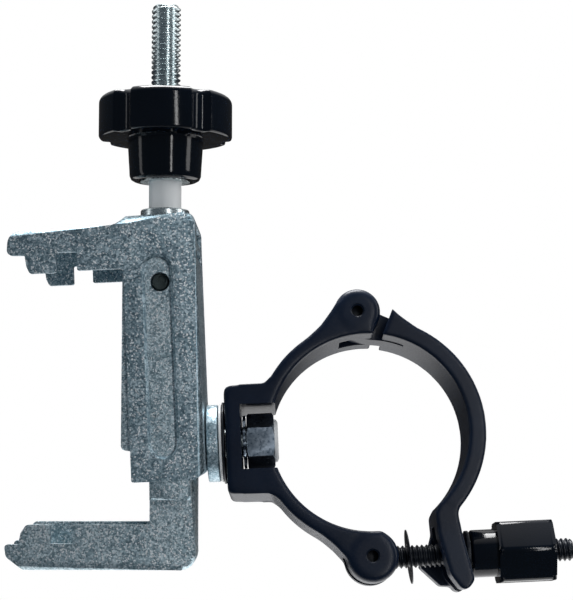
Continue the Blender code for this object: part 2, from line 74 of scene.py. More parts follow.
# Screw and knob
ROD_R, ROD_LEAD, ROD_LOW, ROD_HIGH = 4.0, 1.411, -21.0, 93.0
KNOB_R, KNOB_TOP, RIM_LOW, KNOB_LOW, HUB_R = 18.15, 67.2, 55.7, 44.2, 10.0

# Ring
RING_X, RING_R, FIXED_R, GATE_R, RING_HALF = 52.1, 26.0, 29.8, 30.5, 11.0
BOSS_LEFT, BOSS_TOP, BOSS_LOW = 14.1, 13.8, -14.9
HINGE_X, HINGE_Z, HINGE_R = 50.65, 32.4, 6.2
EYE_X, EYE_Z, EYE_R = 51.0, -32.35, 6.8
TONGUE_HALF, FORK_FACE_R, FORK_FACE_HALF = 3.6, 24.75, 6.9
BOLT_R, BOLT_LEAD, BOLT_END = 3.0, 1.27, 104.2
NUT_START, NUT_STEP, NUT_END = 77.2, 84.4, 98.8


def shift(point):
    return Matrix.Translation(Vector(point) * MM)


ROOT = shift(ORIGIN)
SCREW = (
    ROOT
    @ shift((SCREW_X * math.cos(JAW_PLAY), 0, -SCREW_X * math.sin(JAW_PLAY)))
    @ Matrix.Rotation(JAW_PLAY, 4, "Y")
)
SWIVEL = ROOT @ shift((0, 0, SWIVEL_Z))
RING = SWIVEL @ Matrix.Rotation(RING_TURN, 4, "X")
HINGE = RING @ shift((HINGE_X, 0, HINGE_Z))
EYE = RING @ shift((EYE_X, 0, EYE_Z))


# Materials
def new_tree(name):
    made = bpy.data.materials.new(name)
    made.use_nodes = True
    return made, made.node_tree, made.node_tree.nodes["Principled BSDF"]


def add(tree, kind, inputs=(), **settings):
    """A shader node, its inputs given as (socket name or index, value or output)."""
    made = tree.nodes.new("ShaderNode" + kind)
    for key, value in settings.items():
        setattr(made, key, value)
    for key, value in inputs:
        if isinstance(value, bpy.types.NodeSocket):
            tree.links.new(value, made.inputs[key])
        else:
            made.inputs[key].default_value = value
    return made


def millimetres(tree, stretch=(1.0, 1.0, 1.0)):
    """The surface point in the object's own millimetres."""
    point = add(tree, "TexCoord").outputs["Object"]
    scale = tuple(1000.0 * factor for factor in stretch)
    return add(tree, "VectorMath", [(0, point), (1, scale)], operation="MULTIPLY").outputs[0]


def noise(tree, point, scale, detail):
    inputs = [("Vector", point), ("Scale", scale), ("Detail", detail), ("Roughness", 0.55)]
    return add(tree, "TexNoise", inputs).outputs["Fac"]


def maths(tree, operation, first, second):
    return add(tree, "Math", [(0, first), (1, second)], operation=operation).outputs[0]


def ramp(tree, value, stops):
    """A colour ramp through (place, grey or colour) stops."""
    made = add(tree, "ValToRGB", [("Fac", value)])
    elements = made.color_ramp.elements
    while len(elements) < len(stops):
        elements.new(0.5)
    for element, (place, colour) in zip(elements, stops):
        element.position = place
        element.color = (*colour, 1.0) if isinstance(colour, tuple) else (colour, colour, colour, 1.0)
    return made.outputs["Color"]


def blend(tree, factor, first, second):
    """The first colour, or the second where the factor is 1."""
    made = add(tree, "Mix", [(0, factor)], data_type="RGBA")
    for socket, value in ((made.inputs[6], first), (made.inputs[7], second)):
        if isinstance(value, bpy.types.NodeSocket):
            tree.links.new(value, socket)
        else:
            socket.default_value = (*value, 1.0)
    return made.outputs[2]


def link(tree, shader, **sockets):
    for key, value in sockets.items():
        socket = shader.inputs[key.replace("_", " ")]
        if isinstance(value, bpy.types.NodeSocket):
            tree.links.new(value, socket)
        else:
            socket.default_value = value


def bump(tree, shader, height, strength, distance):
    made = add(tree, "Bump", [("Height", height), ("Strength", strength), ("Distance", distance * MM)])
    tree.links.new(made.outputs["Normal"], shader.inputs["Normal"])


def zinc_material(name, dark, light, glint_share, tint):
    """Spangled zinc plating: fine crystals on the flats, smoother on the folds, with painted glints as
    near-white specks on the flats.
    """
    made, tree, shader = new_tree(name)
    point = millimetres(tree)
    normal = add(tree, "TexCoord").outputs["Normal"]
    flat = add(tree, "VectorMath", [(0, normal)], operation="ABSOLUTE").outputs[0]
    parts = add(tree, "SeparateXYZ", [(0, flat)])
    across = maths(tree, "MAXIMUM", parts.outputs[0], parts.outputs[1])
    widest = maths(tree, "MAXIMUM", across, parts.outputs[2])
    flats = ramp(tree, widest, [(0.93, 0.12), (0.985, 1.0)])
    wobble = add(tree, "TexNoise", [("Vector", point), ("Scale", 1.1), ("Detail", 3.0)]).outputs["Color"]
    bend = [(0, wobble), (1, (0.5, 0.5, 0.5)), (2, point)]
    bent = add(tree, "VectorMath", bend, operation="MULTIPLY_ADD").outputs[0]
    crystal = add(tree, "TexVoronoi", [("Vector", bent), ("Scale", 2.3), ("Randomness", 1.0)])
    small = add(tree, "TexVoronoi", [("Vector", bent), ("Scale", 2.9), ("Randomness", 1.0)])
    cell = add(tree, "SeparateColor", [(0, crystal.outputs["Color"])]).outputs[0]
    glint_and_speck_pick = add(tree, "SeparateColor", [(0, small.outputs["Color"])]).outputs[1]
    cloud = noise(tree, point, 0.12, 4.0)
    mixed = maths(tree, "ADD", maths(tree, "MULTIPLY", cell, 0.5), maths(tree, "MULTIPLY", cloud, 0.6))
    base = ramp(tree, mixed, [(0.2, dark), (0.55, tint), (0.85, light)])
    # Painted glints: near-white specks in the colour of the flats, standing in for light sparkling off the
    # plating.
    glint = ramp(tree, glint_and_speck_pick, [(1.0 - glint_share, 0.0), (1.0 - glint_share * 0.45, 1.0)])
    glint = maths(tree, "MULTIPLY", glint, flats)
    dull = ramp(tree, glint_and_speck_pick, [(0.1, 1.0), (0.2, 0.0)])
    colour = blend(tree, glint, base, (0.97, 0.99, 1.0))
    dull = maths(tree, "MULTIPLY", maths(tree, "MULTIPLY", dull, 0.6), flats)
    colour = blend(tree, dull, colour, dark)
    scratch_point = millimetres(tree, (3.0, 3.0, 0.05))
    scratch = noise(tree, scratch_point, 1.4, 2.0)
    line = ramp(tree, scratch, [(0.70, 0.0), (0.74, 1.0)])
    colour = blend(tree, maths(tree, "MULTIPLY", line, 0.3), colour, light)
    rough = ramp(tree, cell, [(0.0, 0.3), (1.0, 0.52)])
    link(tree, shader, Base_Color=colour, Roughness=rough, Metallic=0.92)
    height = maths(tree, "ADD", maths(tree, "MULTIPLY", cell, flats), maths(tree, "MULTIPLY", cloud, 0.6))
    bump(tree, shader, height, 0.5, 0.05)
    return made


def metal_material(name, dark, light, rough, grain=3.2):
    """Plated or bare metal with fine tool marks and patches of tarnish."""
    made, tree, shader = new_tree(name)
    point = millimetres(tree)
    fine = noise(tree, point, grain, 4.0)
    wide = noise(tree, point, 0.25, 4.0)
    value = maths(tree, "ADD", maths(tree, "MULTIPLY", fine, 0.6), maths(tree, "MULTIPLY", wide, 0.5))
    colour = ramp(tree, value, [(0.3, dark), (0.75, light)])
    spread = ramp(tree, fine, [(0.3, rough * 0.75), (0.7, min(rough * 1.3, 1.0))])
    link(tree, shader, Base_Color=colour, Roughness=spread, Metallic=1.0)
    bump(tree, shader, fine, 0.25, 0.04)
    return made


def coat_material(name, dark, light, rough, metallic=0.0, level=0.5):
    """A coating or plastic: faint orange peel, a little dust and a slight colour drift."""
    made, tree, shader = new_tree(name)
    point = millimetres(tree)
    peel = noise(tree, point, 2.2, 3.0)
    drift = noise(tree, point, 0.08, 4.0)
    dust = ramp(tree, noise(tree, point, 7.0, 2.0), [(0.68, 0.0), (0.76, 1.0)])
    colour = ramp(tree, drift, [(0.35, dark), (0.7, light)])
    colour = blend(tree, maths(tree, "MULTIPLY", dust, 0.10), colour, (0.25, 0.27, 0.3))
    spread = ramp(tree, peel, [(0.3, rough * 0.85), (0.7, min(rough * 1.2, 1.0))])
    link(tree, shader, Base_Color=colour, Roughness=spread, Metallic=metallic)
    shader.inputs["Specular IOR Level"].default_value = level
    bump(tree, shader, peel, 0.22, 0.05)
    return made


MATERIALS = {
    "zinc": zinc_material("zinc", (0.11, 0.17, 0.21), (0.62, 0.74, 0.80), 0.16, (0.28, 0.39, 0.45)),
    # A lighter copy of the same zinc for the sliding bracket: painted lighter, standing in for the stronger
    # light on its jaw.
    "zinc_painted_lighter": zinc_material(
        "zinc_painted_lighter", (0.17, 0.25, 0.29), (0.80, 0.90, 0.94), 0.2, (0.41, 0.54, 0.60)
    ),
    "bright": metal_material("bright", (0.36, 0.43, 0.45), (0.80, 0.87, 0.88), 0.26),
    "nut": metal_material("nut", (0.14, 0.19, 0.25), (0.42, 0.48, 0.55), 0.34, grain=1.6),
    # Near-black finish of the guide pins: painted shade, standing in for the dark of the slot around them.
    "pin_painted_shade": metal_material("pin_painted_shade", (0.02, 0.03, 0.03), (0.10, 0.12, 0.12), 0.4),
    "phenolic": coat_material(
        "phenolic", (0.0010, 0.0028, 0.0065), (0.0018, 0.0040, 0.0090), 0.08, level=0.26
    ),
    "ring_black": coat_material(
        "ring_black", (0.0010, 0.0055, 0.0180), (0.0020, 0.0090, 0.0260), 0.34, level=0.25
    ),
    "black_steel": coat_material(
        "black_steel", (0.003, 0.005, 0.010), (0.009, 0.013, 0.020), 0.34, metallic=0.2, level=0.35
    ),
    # White nylon of the washer and nut crown; on the screw sleeve the same white is a painted highlight.
    "nylon": coat_material("nylon", (0.88, 0.89, 0.89), (0.94, 0.94, 0.93), 0.45),
}


# Mesh tools
def rounded(points, steps=6):
    """An outline whose corners (x, z, radius) become arcs, as a list of (x, z)."""
    outline = []
    for index, (x, z, radius) in enumerate(points):
        corner = Vector((x, z))
        if radius <= 0:
            outline.append((x, z))
            continue
        before = (Vector(points[index - 1][:2]) - corner).normalized()
        after = (Vector(points[(index + 1) % len(points)][:2]) - corner).normalized()
        half = before.angle(after) / 2
        centre = corner + (before + after).normalized() * (radius / math.sin(half))
        reach = radius / math.tan(half)
        start = corner + before * reach - centre
        turn = start.angle_signed(corner + after * reach - centre)
        for step in range(steps + 1):
            arm = start.copy()
            arm.rotate(Matrix.Rotation(-turn * step / steps, 2))
            outline.append(tuple(centre + arm))
    return outline


def arc(centre, radius, start, end, steps=24):
    """Points along an arc in the XZ plane, angles in degrees from +X towards +Z."""
    angles = [math.radians(start + (end - start) * step / steps) for step in range(steps + 1)]
    return [(centre[0] + radius * math.cos(a), centre[1] + radius * math.sin(a)) for a in angles]


def moved(points, dx, dz):
    return [(x + dx, z + dz) for x, z in points]


def mesh_of(work):
    bmesh.ops.recalc_face_normals(work, faces=work.faces)
    made = bpy.data.meshes.new("mesh")
    work.to_mesh(made)
    work.free()
    return made


def prism(outline, low, high, axis="Y", fold=0.0, steps=5):
    """An outline in XZ (or YZ, or XY) between two depths, with the rims of its two faces rounded by fold."""
    place = {
        "Y": lambda a, b, depth: (a, depth, b),
        "X": lambda a, b, depth: (depth, a, b),
        "Z": lambda a, b, depth: (a, b, depth),
    }[axis]
    work = bmesh.new()
    near = [work.verts.new(place(a, b, low)) for a, b in outline]
    far = [work.verts.new(place(a, b, high)) for a, b in outline]
    caps = [work.faces.new(near), work.faces.new(far[::-1])]
    for index in range(len(outline)):
        work.faces.new((near[index], near[index - 1], far[index - 1], far[index]))
    if fold > 0:
        rims = [edge for cap in caps for edge in cap.edges]
        bmesh.ops.bevel(work, geom=rims, offset=fold, segments=steps, profile=0.5, affect="EDGES")
    return mesh_of(work)


def loft(layers):
    """A solid through outlines in XZ that have equal counts of points, each given with its depth along Y."""
    work = bmesh.new()
    rings = [[work.verts.new((x, depth, z)) for x, z in outline] for outline, depth in layers]
    work.faces.new(rings[0])
    work.faces.new(rings[-1][::-1])
    for near, far in zip(rings, rings[1:]):
        for index in range(len(near)):
            work.faces.new((near[index], near[index - 1], far[index - 1], far[index]))
    return mesh_of(work)


def box(x0, x1, y0, y1, z0, z1):
    return prism([(x0, z0), (x1, z0), (x1, z1), (x0, z1)], y0, y1)


def turned(profile, axis="Z", steps=64, at=(0.0, 0.0, 0.0)):
    """A solid of revolution from (radius, height) points down its outer side."""
    work = bmesh.new()
    rings = []
    for radius, height in profile:
        angles = [2 * math.pi * k / steps for k in range(steps if radius > 0 else 1)]
        rings.append([work.verts.new((radius * math.cos(a), radius * math.sin(a), height)) for a in angles])
    pairs = list(zip(rings, rings[1:]))
    if profile[0][0] > 0:
        pairs.append((rings[-1], rings[0]))
    for upper, lower in pairs:
        for k in range(steps):
            corners = [upper[k % len(upper)], upper[(k + 1) % len(upper)]]
            corners += [lower[(k + 1) % len(lower)], lower[k % len(lower)]]
            corners = list(dict.fromkeys(corners))
            if len(corners) > 2:
                work.faces.new(corners)
    made = mesh_of(work)
    if axis == "X":
        made.transform(Matrix.Rotation(math.pi / 2, 4, "Y"))
    if axis == "Y":
        made.transform(Matrix.Rotation(-math.pi / 2, 4, "X"))
    made.transform(Matrix.Translation(at))
    return made


def shaft(radius, low, high, axis="Z", hole=0.0, fold=0.0, at=(0.0, 0.0, 0.0), steps=64):
    """A round bar or tube whose outer rims are rounded by fold."""
    outer = [(radius, high), (radius, low)]
    if fold > 0:
        quarter = [math.radians(90 * k / 4) for k in range(5)]
        outer = [(radius - fold + fold * math.sin(a), high - fold + fold * math.cos(a)) for a in quarter]
        outer += [(radius - fold + fold * math.cos(a), low + fold - fold * math.sin(a)) for a in quarter]
    inner = [(hole, high), (hole, low)] if hole > 0 else [(0.0, high), (0.0, low)]
    return turned([inner[0]] + outer + [inner[1]], axis, steps, at)


def threaded(radius, depth, lead, low, high, chamfer, columns=40):
    """A bar with a real helical thread: rows of the mesh follow the helix, and its ends are chamfered."""
    work = bmesh.new()
    form = [0.0, 0.0, 0.4, 0.85, 1.0, 1.0, 0.85, 0.4]
    per = len(form)
    base = low - 1.01 * lead
    count = int((high - base) / lead * per) + per + 1
    rows = []
    for i in range(count + 1):
        row = []
        for j in range(columns):
            z = min(max(base + lead * (i / per + j / columns), low), high)
            r = radius - depth * form[i % per]
            r = min(r, radius - chamfer + min(z - low, high - z))
            angle = 2 * math.pi * j / columns
            row.append(work.verts.new((r * math.cos(angle), r * math.sin(angle), z)))
        rows.append(row)
    for i in range(count):
        for j in range(columns):
            if j + 1 < columns:
                work.faces.new((rows[i][j], rows[i][j + 1], rows[i + 1][j + 1], rows[i + 1][j]))
            elif i + per + 1 <= count:
                work.faces.new((rows[i][j], rows[i + per][0], rows[i + per + 1][0], rows[i + 1][j]))
    bmesh.ops.remove_doubles(work, verts=work.verts, dist=1e-5)
    bmesh.ops.dissolve_degenerate(work, edges=work.edges, dist=1e-6)
    loose = [vert for vert in work.verts if not vert.link_faces]
    bmesh.ops.delete(work, geom=loose, context="VERTS")
    bmesh.ops.holes_fill(work, edges=[edge for edge in work.edges if edge.is_boundary], sides=0)
    return mesh_of(work)


def holder(mesh):
    made = bpy.data.objects.new("work", mesh)
    bpy.context.scene.collection.objects.link(made)
    return made


def modified(mesh, *steps):
    """The mesh after modifiers, each given as (kind, settings)."""
    made = holder(mesh)
    others = []
    for kind, settings in steps:
        modifier = made.modifiers.new(kind.lower(), kind)
        for key, value in settings.items():
            if isinstance(value, bpy.types.Mesh):
                value = holder(value)
                others.append(value)
            setattr(modifier, key, value)
    bpy.context.view_layer.update()
    result = bpy.data.meshes.new_from_object(made.evaluated_get(bpy.context.evaluated_depsgraph_get()))
    for old in [made] + others:
        bpy.data.objects.remove(old, do_unlink=True)
    return result


def combined(mesh, others, operation):
    solver = {"operation": operation, "solver": "EXACT"}
    return modified(mesh, *[("BOOLEAN", {**solver, "object": other}) for other in others])


def cut(mesh, *others):
    return combined(mesh, others, "DIFFERENCE")


def join(mesh, *others):
    return combined(mesh, others, "UNION")


def within(mesh, other):
    return combined(mesh, [other], "INTERSECT")


def edged(mesh, width, segments=1):
    """Breaks the sharp edges left by the cutters."""
    settings = {"width": width, "segments": segments, "use_clamp_overlap": True}
    limit = {"limit_method": "ANGLE", "angle_limit": math.radians(40.0)}
    return modified(mesh, ("BEVEL", {**settings, **limit}))


def cast(mesh, rounds):
    """Blends a rough block into one soft casting. More rounds of smoothing give larger fillets."""
    return modified(
        mesh,
        ("REMESH", {"mode": "VOXEL", "voxel_size": 0.36}),
        ("SMOOTH", {"factor": 0.5, "iterations": rounds}),
        ("DECIMATE", {"ratio": 0.25}),
    )


def piece(name, mesh, at, body, nodes, finish, sharp=32.0):
    """Places a mesh, made in millimetres in a frame, as a piece on a CAD body."""
    mesh.transform(at @ Matrix.Scale(MM, 4))
    mesh.materials.clear()
    mesh.materials.append(MATERIALS[finish])
    mesh.shade_smooth()
    mesh.set_sharp_from_angle(angle=math.radians(sharp))
    made = bpy.data.objects.new(name, mesh)
    bpy.context.scene.collection.objects.link(made)
    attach(made, body)
    if nodes:
        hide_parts(*nodes)
    return made


# Folded brackets
def slot_outline(half):
    """The long slot's outline, or that of its coined rim, from half its width."""
    top = arc((SLOT_X, SLOT_TOP - SLOT_HALF), half, 0, 180, 20)
    return top + arc((SLOT_X, SLOT_BOTTOM + SLOT_HALF), half, 180, 360, 20)


def upper_bracket():
    """A channel folded from sheet. The folds are rounded on a larger blank, which is then trimmed."""
    blank = rounded(
        [
            (-50, ARM_TOP - 0.3, 0),
            (-12.6, ARM_TOP + 0.3, 1.2),
            (-9.2, LEG_TOP - 0.3, 0),
            (LEG_RIGHT, LEG_TOP, 2.4),
            (LEG_RIGHT, -46, 0),
            (-20, -46, 0),
            (-20, 9, 0),
            (-50, 9, 0),
        ]
    )
    trim = rounded(
        [
            (NOSE + 0.6, ARM_TOP - 0.5, 3.2),
            (-33.0, ARM_TOP - 0.2, 0),
            (-33.0, 40, 0),
            (LEG_RIGHT + 0.4, 40, 0),
            (LEG_RIGHT + 0.4, LEG_BOTTOM, 4.2),
            (LEG_LEFT, LEG_BOTTOM, 0.6),
            (LEG_LEFT, ARM_UNDER, 1.2),
            (-22.1, ARM_UNDER, 0.4),
            (-22.1, 24.0, 0.5),
            (-27.5, 24.0, 0.5),
            (-27.5, 18.8, 0.5),
            (-34.4, 18.8, 0.8),
            (-35.2, 20.6, 0.4),
            (-35.6, 23.6, 0.3),
            (NOSE, 23.8, 1.4),
        ]
    )
    hollow = rounded(
        [
            (-60, ARM_TOP - 1.9, 0),
            (-12.2, ARM_TOP - 1.2, 1.0),
            (-8.8, LEG_TOP - SHEET - 0.3, 1.0),
            (LEG_RIGHT - SHEET, LEG_TOP - SHEET, 1.0),
            (LEG_RIGHT - SHEET, -60, 0),
            (-60, -60, 0),
        ]
    )
    inner = BRACKET_HALF - SHEET
    body = prism(blank, -BRACKET_HALF, BRACKET_HALF, fold=FOLD)
    body = within(body, prism(trim, -20, 20))
    slot, rim, mouth = slot_outline(SLOT_HALF), slot_outline(SLOT_HALF + 0.7), BRACKET_HALF - 0.03
    screw_hole = shaft(ROD_R + 0.9, 26, 40)
    screw_hole.transform(Matrix.Translation((SCREW_X, 0, 0)) @ Matrix.Rotation(JAW_PLAY, 4, "Y"))
    body = cut(
        body,
        prism(hollow, -inner, inner, fold=0.5, steps=3),
        loft([(rim, -25), (rim, -mouth), (slot, 0.6 - mouth), (slot, mouth - 0.6), (rim, mouth), (rim, 25)]),
        box(6.0, 12.0, -12.0, 12.0, 26.2, 30.4),
        box(6.0, 12.0, -12.0, 12.0, 21.8, 24.4),
        shaft(ROD_R + 0.3, 0, 14, "X", at=(0, 0, SWIVEL_Z)),
        screw_hole,
    )
    piece("clamp_bracket", edged(body, 0.14), ROOT, "upper_jaw", ["upper_bracket"], "zinc")


def lower_bracket():
    """The sliding channel and the narrower lower jaw below it."""
    slider = rounded(
        [
            (-9.8, 23.2, 1.0),
            (7.4, 23.2, 1.0),
            (7.9, -28.0, 0),
            (8.3, -41.2, 1.0),
            (-2.4, -41.2, 0),
            (-2.4, -28.4, 0),
            (-9.8, -28.4, 1.0),
        ]
    )
    body = prism(slider, -SLIDER_HALF, SLIDER_HALF, fold=0.9, steps=4)
    inner = SLIDER_HALF - SHEET
    body = cut(body, prism([(-60, 60), (6.0, 60), (6.4, -28.0), (6.7, -60), (-60, -60)], -inner, inner))
    blank = rounded([(-60, -30, 0), (-60, -59.7, 0), (9.1, -59.7, 3.6), (9.1, -30, 0)])
    trim = rounded(
        [
            (-2.9, -36.0, 0),
            (-2.9, -47.9, 0.6),
            (-35.2, -47.9, 1.0),
            (-36.6, -50.0, 0.4),
            (-37.2, -53.0, 0.3),
            (-40.9, -53.0, 0.8),
            (-40.4, -56.2, 2.0),
            (-35.5, -59.9, 3.0),
            (-32.0, -59.9, 0),
            (-32.0, -66, 0),
            (14, -66, 0),
            (14, -36.0, 0),
        ]
    )
    jaw = within(prism(blank, -JAW_HALF, JAW_HALF, fold=1.7), prism(trim, -12, 12))
    body = join(body, jaw)
    hollow = rounded([(-60, -30, 0), (6.9, -30, 0), (7.3, -57.7, 1.5), (-60, -57.7, 0)])
    body = cut(
        body,
        prism(hollow, 2.0 - JAW_HALF, JAW_HALF - 2.0),
        box(-28.9, -22.9, -12.0, 0.0, -52.8, -40.0),
        shaft(PIN_R + 0.3, -30, 30, "Y", at=(0, 0, PIN_Z)),
    )
    # The sliding bracket takes the lighter zinc copy, painted lighter to stand in for light.
    piece("sliding_bracket", edged(body, 0.12), SCREW, "lower_jaw", ["lower_bracket"], "zinc_painted_lighter")


# Screw and knob
def knob_outline(angle):
    """The star's radius at an angle, with the lips of its flutes eased."""
    lobes = 5
    offset = (angle - 270 + 180 / lobes) % (360 / lobes) - 180 / lobes
    from_flute = math.radians(180 / lobes - abs(offset))
    away, flute = KNOB_R + 1.2, 3.2
    inside = flute**2 - (away * math.sin(from_flute)) ** 2
    if inside <= 0:
        return KNOB_R
    reach = away * math.cos(from_flute) - math.sqrt(inside)
    ease = 3.0
    return -math.log(math.exp(-ease * KNOB_R) + math.exp(-ease * reach)) / ease


def star_knob():
    """A lobed rim with eased shoulders on a round hub."""
    columns = 360
    shoulder = [math.radians(90 * k / 6) for k in range(7)]
    top, low = 1.9, 0.9
    section = [(5.9, 46.3, 0), (5.9, KNOB_TOP - 0.9, 0), (6.9, KNOB_TOP - 0.9, 0), (7.6, KNOB_TOP, 0)]
    section += [(-top + top * math.sin(a), KNOB_TOP - top + top * math.cos(a), 1) for a in shoulder]
    section += [(-low + low * math.cos(a), RIM_LOW + low - low * math.sin(a), 1) for a in shoulder]
    hub = [(10.6, RIM_LOW), (10.25, RIM_LOW - 0.5), (10.15, 53.0), (9.8, 47.5), (9.7, 45.6)]
    hub += [(9.3, KNOB_LOW + 0.5), (8.6, KNOB_LOW + 0.1), (7.8, KNOB_LOW), (7.1, KNOB_LOW), (7.1, 46.3)]
    section += [(r, z, 0) for r, z in hub]
    work = bmesh.new()
    rings = []
    for r, z, on_rim in section:
        ring = []
        for k in range(columns):
            degrees = 360 * k / columns
            radius = r + (knob_outline(degrees) if on_rim else 0.0)
            angle = math.radians(degrees)
            ring.append(work.verts.new((radius * math.cos(angle), radius * math.sin(angle), z)))
        rings.append(ring)
    for upper, lower in zip(rings, rings[1:] + rings[:1]):
        for k in range(columns):
            work.faces.new((upper[k - 1], upper[k], lower[k], lower[k - 1]))
    piece("star_grip", mesh_of(work), SCREW, "spindle", ["star_knob"], "phenolic", 28)


def screw_pieces():
    rod = threaded(ROD_R, 0.62, ROD_LEAD, ROD_LOW, ROD_HIGH, 0.9)
    piece("screw_rod", rod, SCREW, "spindle", ["spindle"], "bright", 50)
    collar = shaft(6.6, 34.0, 36.3, hole=ROD_R + 0.2, fold=0.5)
    piece("screw_collar", collar, SCREW, "spindle", ["spindle_collar"], "bright")
    # Painted highlight: a white sleeve over the rod between collar and knob, standing in for blown-out light
    # on the bare rod.
    sleeve = shaft(ROD_R + 0.4, 36.4, KNOB_LOW - 0.1, hole=ROD_R + 0.05, fold=0.15)
    piece("screw_sleeve_painted_highlight", sleeve, SCREW, "spindle", [], "nylon")
    for name, side, node in (("front", -1, "guide_pin_front"), ("rear", 1, "guide_pin_rear")):
        profile = [(0, 15.6), (1.9, 15.6), (PIN_R, 15.3), (PIN_R, 6.0), (0, 6.0)]
        pin = cut(turned(profile), shaft(1.15, 14.2, 16.0, at=(0.55, 0.6, 0), steps=32))
        pin.transform(Matrix.Rotation(math.pi / 2 * side * -1, 4, "X"))
        pin.transform(Matrix.Translation((0, 0, PIN_Z)))
        # The pins' near-black finish is painted shade.
        piece("guide_stud_" + name, pin, SCREW, "lower_jaw", [node], "pin_painted_shade")


# Swivel
def hexagon(across, turn=0.0):
    reach = across / 2 / math.cos(math.pi / 6)
    return arc((0.0, 0.0), reach, turn, turn + 300, 5)


def swivel_pieces():
    spacer = shaft(10.3, 9.1, 12.2, "X", hole=ROD_R + 0.3, fold=0.35)
    piece("swivel_bush", spacer, SWIVEL, "upper_jaw", ["swivel_spacer"], "zinc")
    washer = shaft(10.4, 12.4, 13.1, "X", hole=ROD_R + 0.3, fold=0.2)
    piece("nylon_ring", washer, SWIVEL, "upper_jaw", ["nylon_washer"], "nylon")
    disc = shaft(10.9, 13.25, 13.85, "X", hole=ROD_R + 0.3, fold=0.2)
    piece("friction_plate", disc, RING, "ring", ["friction_disc"], "black_steel")
    body = prism(hexagon(12.99, 90), 19.7, 27.0, "X")
    ease = [(0, 27.0), (6.7, 27.0), (7.6, 26.4), (7.6, 20.2), (6.9, 19.7), (0, 19.7)]
    body = within(body, turned(ease, "X", 72))
    bore = turned([(0, 40), (4.9, 40), (4.9, 26.5), (ROD_R + 0.2, 26.5), (ROD_R + 0.2, 10), (0, 10)], "X")
    piece("swivel_nut", edged(cut(body, bore), 0.12), SWIVEL, "upper_jaw", ["lock_nut"], "nut")
    dome = [(4.2, 28.0), (4.9, 28.0), (5.5, 27.7), (5.75, 27.2), (5.75, 27.03), (4.2, 27.03)]
    piece("nut_crown", turned(dome, "X"), SWIVEL, "upper_jaw", ["lock_nut_insert"], "nylon")
    teeth = []
    for k in range(48):
        radius = (7.1, 7.1, 5.9, 5.9)[k % 4]
        angle = 2 * math.pi * k / 48
        teeth.append((radius * math.cos(angle), radius * math.sin(angle)))
    star = cut(prism(teeth, 18.65, 19.45, "X"), shaft(ROD_R + 0.3, 15, 22, "X"))
    piece("lock_washer", edged(star, 0.1), SWIVEL, "upper_jaw", ["tooth_washer"], "nut")


# Ring
def ring_fixed_half():
    centre = (RING_X, 0)
    band = arc(centre, FIXED_R, 104, 256, 60) + arc(centre, RING_R - 1.5, 262, 98, 40)
    boss = [
        (BOSS_LEFT, BOSS_TOP, 1.6),
        (25.2, BOSS_TOP - 0.1, 0),
        (28.6, 18.0, 0),
        (31.2, 15.4, 0),
        (28.4, 9.6, 0),
        (27.4, 7.0, 0),
        (27.2, -8.0, 0),
        (30.6, -14.6, 0),
        (29.6, -19.2, 0),
        (25.6, BOSS_LOW, 0),
        (BOSS_LEFT + 0.2, BOSS_LOW, 1.2),
    ]
    hinge_neck = [(35.4, 24.6), (37.9, 26.5), (40.7, 29.0), (43.3, 32.3), (45.2, 35.0), (50.6, 36.0)]
    hinge_neck += [(55.5, 30.5), (54.2, 25.0), (40.0, 21.5)]
    eye_neck = [(37.0, -21.0), (52.5, -24.5), (56.5, -29.0), (55.3, -36.2), (50.0, -38.4), (46.6, -36.8)]
    eye_neck += [(44.0, -32.4), (41.6, -29.6), (38.8, -27.0), (35.5, -24.6)]
    block = join(
        prism(band, -RING_HALF, RING_HALF),
        prism(rounded(boss), -RING_HALF + 0.03, RING_HALF - 0.03, fold=1.1),
        prism(hinge_neck, -RING_HALF + 0.05, RING_HALF - 0.05),
        prism(eye_neck, -RING_HALF + 0.07, RING_HALF - 0.07),
        shaft(HINGE_R, -RING_HALF - 0.1, RING_HALF + 0.1, "Y", fold=1.8, at=(HINGE_X, 0, HINGE_Z)),
        shaft(EYE_R, -RING_HALF - 0.1, RING_HALF + 0.1, "Y", fold=1.8, at=(EYE_X, 0, EYE_Z)),
    )
    block = cut(block, shaft(RING_R, -20, 20, "Y", at=(RING_X, 0, 0), steps=160))
    body = cast(block, rounds=30)
    way_r, way_left = HINGE_R + 0.5, 45.6
    first = math.degrees(math.asin(-1.0 / way_r))
    last = 180 + math.degrees(math.acos((HINGE_X - way_left) / way_r))
    keyhole = [(way_left, 20.0), (70.0, 20.0), (70.0, HINGE_Z - 1.0)]
    keyhole += arc((HINGE_X, HINGE_Z), way_r, first, last, 30)
    cutters = [
        box(18.2, 60.0, -20, 20, -8.5, 8.6),
        shaft(ROD_R + 0.3, 0, 30, "X"),
        prism(keyhole, -TONGUE_HALF - 0.3, TONGUE_HALF + 0.3),
        shaft(EYE_R + 0.6, 0.05 - TONGUE_HALF, TONGUE_HALF - 0.05, "Y", at=(EYE_X, 0, EYE_Z)),
    ]
    bore = [(0, 20), (1.9, 20), (1.9, 10.75), (1.5, 10.5), (1.5, 9.9), (2.5, 9.9)]
    bore += [(r, -h) for r, h in bore[::-1]]
    for x, z in ((HINGE_X, HINGE_Z), (EYE_X, EYE_Z)):
        cutters.append(turned(bore, "Y", 32, (x, 0, z)))
    piece("ring_bracket", cut(body, *cutters), RING, "ring", ["ring_fixed_half"], "ring_black", 38)
    for name, node, x, z in (("hinge", "hinge_pin", HINGE_X, HINGE_Z), ("eye", "eye_pin", EYE_X, EYE_Z)):
        pin = shaft(2.3, -7.0, 7.0, "Y", fold=0.3, at=(x, 0, z), steps=32)
        piece(name + "_rivet", pin, RING, "ring", [node], "black_steel")


